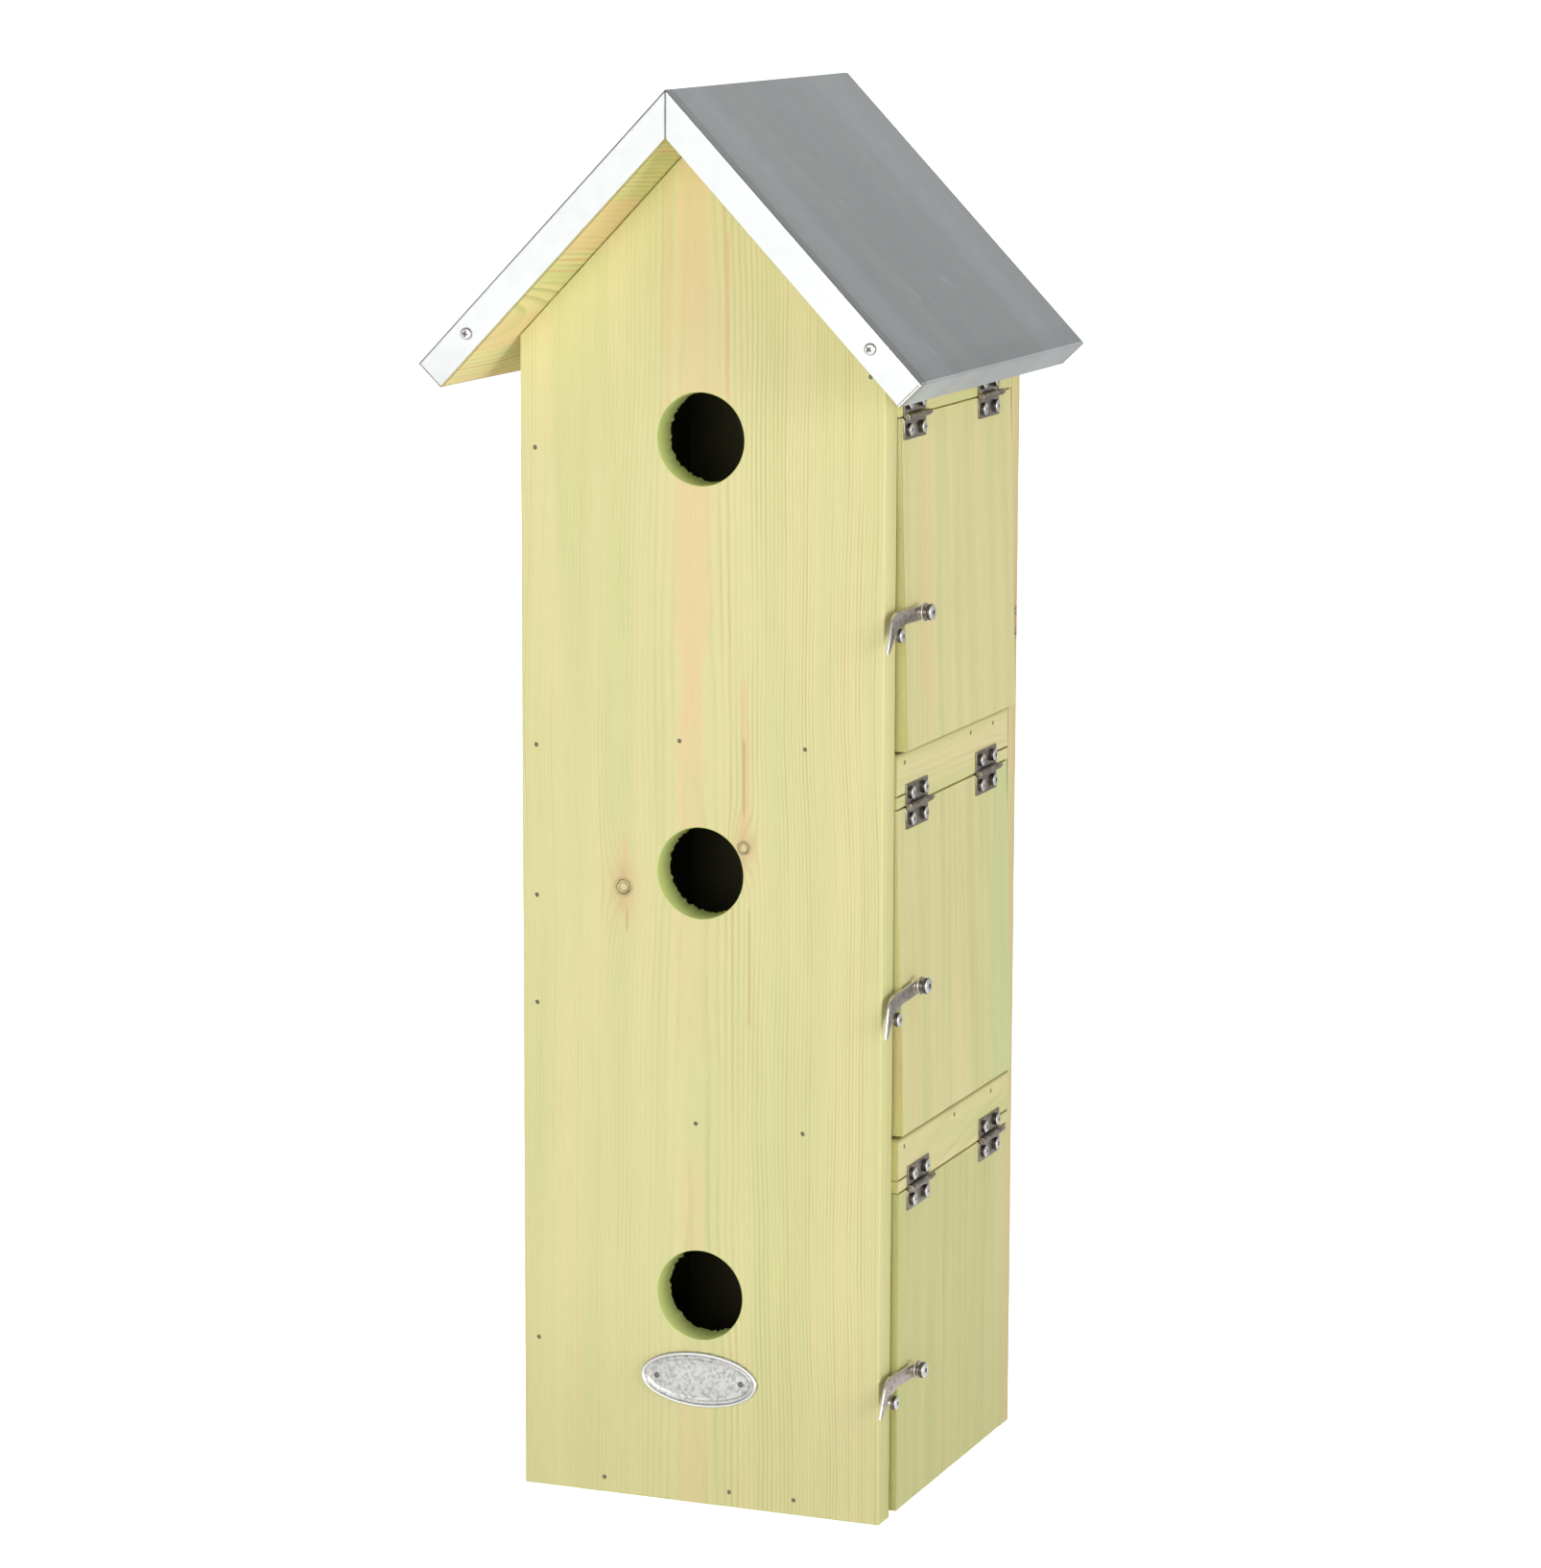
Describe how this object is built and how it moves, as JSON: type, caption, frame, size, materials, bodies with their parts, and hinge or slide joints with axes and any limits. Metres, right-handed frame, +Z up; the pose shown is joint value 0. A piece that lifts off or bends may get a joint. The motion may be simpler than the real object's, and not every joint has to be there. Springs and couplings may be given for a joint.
{
  "type": "sparrow nest box",
  "caption": "Tall gabled nest box for sparrows with stacked entrance holes, a folded metal roof cap, and a hinged, hook-latched cleaning door for each chamber.",
  "frame": {"origin": "On the ground, in the middle of the whole outline seen from above.", "axes": "+Z up, +Y to the back that goes against a wall, +X to the side with the doors."},
  "size_m": [0.1946, 0.1824, 0.5302],
  "materials": {
    "stained_pine": "thin green stain, matt",
    "roof_pine": "thin green stain, matt",
    "zinc_sheet": "dull zinc",
    "nickel_hardware": "nickel plate",
    "steel_nails": "dull steel",
    "pewter_badge": "satin casting"
  },
  "bodies": {
    "box": {"front_board": "stained_pine", "back_board": "stained_pine", "left_side_board": "stained_pine", "roof_board_left": "roof_pine", "roof_board_right": "roof_pine", "roof_cap": "zinc_sheet", "cap_screws": "nickel_hardware", "roof_nails": "steel_nails", "front_nails": "steel_nails", "back_nails": "steel_nails", "rail_nails": "steel_nails", "badge": "pewter_badge", "badge_pins": "pewter_badge", "catch_screws": "nickel_hardware", "floor_bottom": "stained_pine", "rail_bottom": "stained_pine", "hinge_rail_leaf_bottom_front": "nickel_hardware", "hinge_pin_bottom_front": "nickel_hardware", "hinge_rail_leaf_bottom_back": "nickel_hardware", "hinge_pin_bottom_back": "nickel_hardware", "floor_middle": "stained_pine", "rail_middle": "stained_pine", "hinge_rail_leaf_middle_front": "nickel_hardware", "hinge_pin_middle_front": "nickel_hardware", "hinge_rail_leaf_middle_back": "nickel_hardware", "hinge_pin_middle_back": "nickel_hardware", "floor_top": "stained_pine", "rail_top": "stained_pine", "hinge_rail_leaf_top_front": "nickel_hardware", "hinge_pin_top_front": "nickel_hardware", "hinge_rail_leaf_top_back": "nickel_hardware", "hinge_pin_top_back": "nickel_hardware", "hinge_rail_screws": "nickel_hardware"},
    "bottom_door": {"door_bottom": "stained_pine", "hinge_door_leaf_bottom_front": "nickel_hardware", "hinge_door_leaf_bottom_back": "nickel_hardware", "hinge_door_screws_bottom": "nickel_hardware", "latch_pivot_screw_bottom": "nickel_hardware", "latch_collar_bottom": "nickel_hardware", "latch_washer_bottom": "nickel_hardware"},
    "bottom_latch": {"latch_hook_bottom": "nickel_hardware"},
    "middle_door": {"door_middle": "stained_pine", "hinge_door_leaf_middle_front": "nickel_hardware", "hinge_door_leaf_middle_back": "nickel_hardware", "hinge_door_screws_middle": "nickel_hardware", "latch_pivot_screw_middle": "nickel_hardware", "latch_collar_middle": "nickel_hardware", "latch_washer_middle": "nickel_hardware"},
    "middle_latch": {"latch_hook_middle": "nickel_hardware"},
    "top_door": {"door_top": "stained_pine", "hinge_door_leaf_top_front": "nickel_hardware", "hinge_door_leaf_top_back": "nickel_hardware", "hinge_door_screws_top": "nickel_hardware", "latch_pivot_screw_top": "nickel_hardware", "latch_collar_top": "nickel_hardware", "latch_washer_top": "nickel_hardware"},
    "top_latch": {"latch_hook_top": "nickel_hardware"}
  },
  "joints": [
    {"name": "bottom_door_hinge", "type": "hinge", "parent": "box", "child": "bottom_door", "pos_m": [0.07575, 0.0172, 0.12437], "axis": [0, -1, 0], "range_deg": [0, 100]},
    {"name": "bottom_latch_pivot", "type": "hinge", "parent": "bottom_door", "child": "bottom_latch", "pos_m": [0.0742, -0.0313, 0.05437], "axis": [-0.9962, 0.0872, 0], "range_deg": [0, 100]},
    {"name": "middle_door_hinge", "type": "hinge", "parent": "box", "child": "middle_door", "pos_m": [0.07415, 0.0172, 0.26837], "axis": [0, -1, 0], "range_deg": [-1.5, 100]},
    {"name": "middle_latch_pivot", "type": "hinge", "parent": "middle_door", "child": "middle_latch", "pos_m": [0.07436, -0.0313, 0.20106], "axis": [-0.9959, 0.0872, -0.0261], "range_deg": [0, 100]},
    {"name": "top_door_hinge", "type": "hinge", "parent": "box", "child": "top_door", "pos_m": [0.07415, 0.0172, 0.41237], "axis": [0, -1, 0], "range_deg": [-1.65, 100]},
    {"name": "top_latch_pivot", "type": "hinge", "parent": "top_door", "child": "top_latch", "pos_m": [0.07467, -0.0313, 0.34036], "axis": [-0.9958, 0.0872, -0.0287], "range_deg": [0, 100]}
  ]
}
